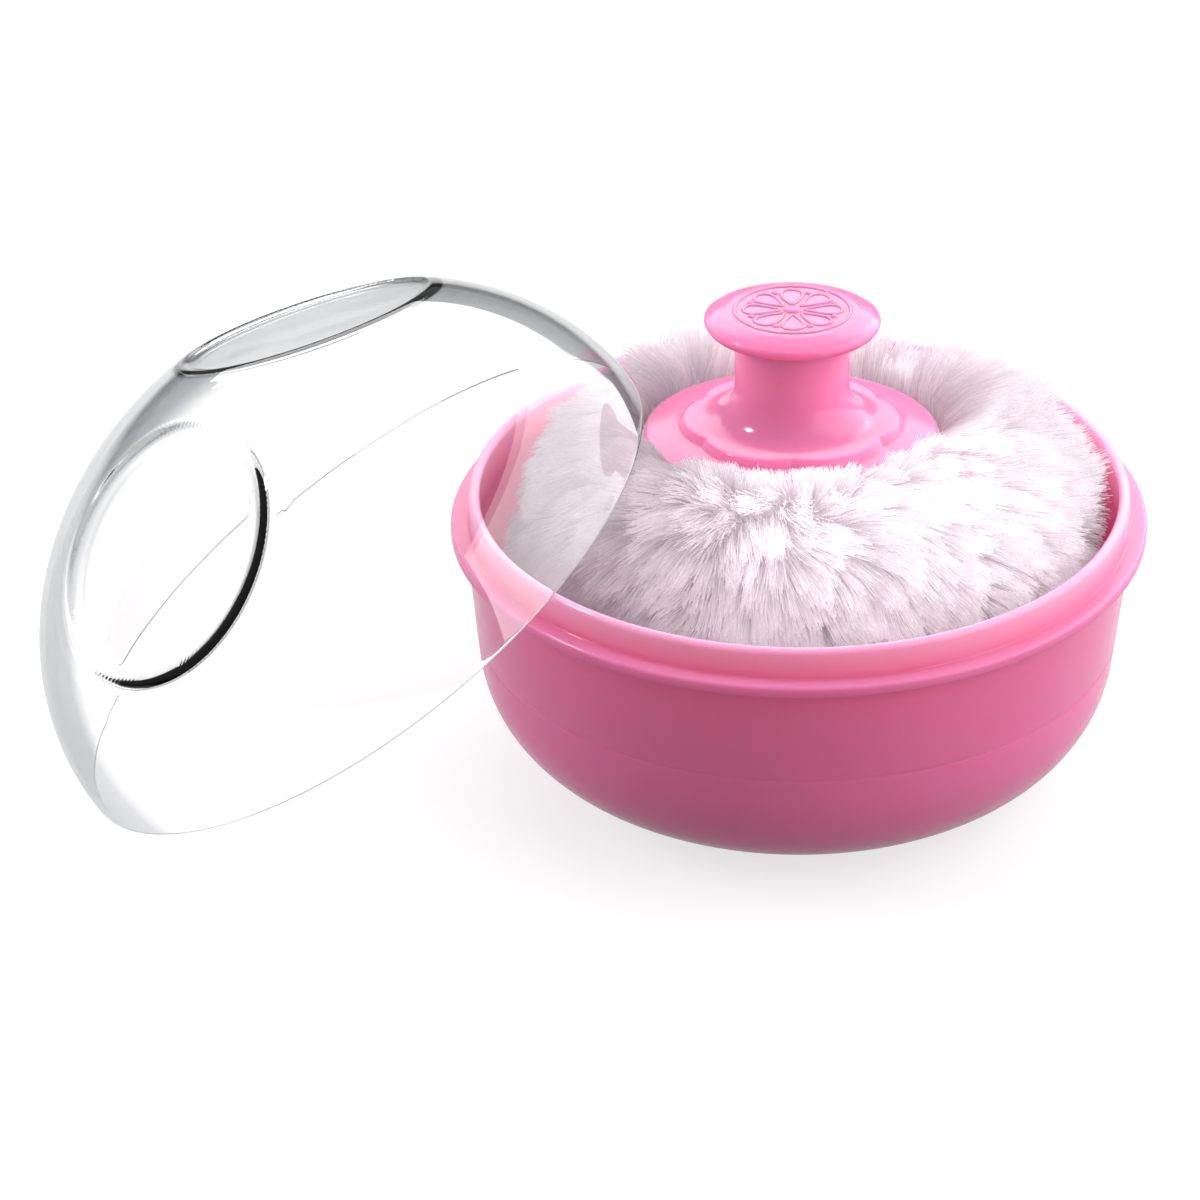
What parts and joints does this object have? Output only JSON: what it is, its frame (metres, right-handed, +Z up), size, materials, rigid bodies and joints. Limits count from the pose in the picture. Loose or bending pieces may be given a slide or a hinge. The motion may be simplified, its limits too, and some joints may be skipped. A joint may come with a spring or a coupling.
{
  "type": "powder puff",
  "caption": "Round powder bowl holding a fluffy puff on a mushroom-shaped handle, with a clear domed lid leaning on the puff.",
  "frame": {"origin": "on the table under the middle of the whole set's box", "axes": "+X from the leaning lid towards the bowl, +Y to the back, +Z up out of the bowl"},
  "size_m": [0.1824, 0.12, 0.0833],
  "materials": {
    "pink_plastic": "satin moulded polypropylene",
    "clear_plastic": "polished clear polystyrene",
    "pile_fabric": "long soft pile",
    "foam": null,
    "white_plastic": "moulded",
    "screw_steel": "zinc plated",
    "cord_fabric": "twisted cotton"
  },
  "bodies": {
    "bowl": {"bowl_shell": "pink_plastic"},
    "puff": {"puff_cover": "pile_fabric", "puff_core": "foam", "clamp_plate": "white_plastic", "clamp_screw": "screw_steel", "draw_cord": "cord_fabric", "handle_stem": "pink_plastic", "knob_head": "pink_plastic"},
    "lid": {"lid_dome": "clear_plastic"}
  },
  "joints": [
    {"name": "puff_lift", "type": "slide", "parent": "bowl", "child": "puff", "axis": [0, 0, 1], "range_m": [0, 0.07]},
    {"name": "lid_lift", "type": "slide", "parent": "puff", "child": "lid", "axis": [-0.5765, 0, 0.8171], "range_m": [0, 0.09]}
  ]
}
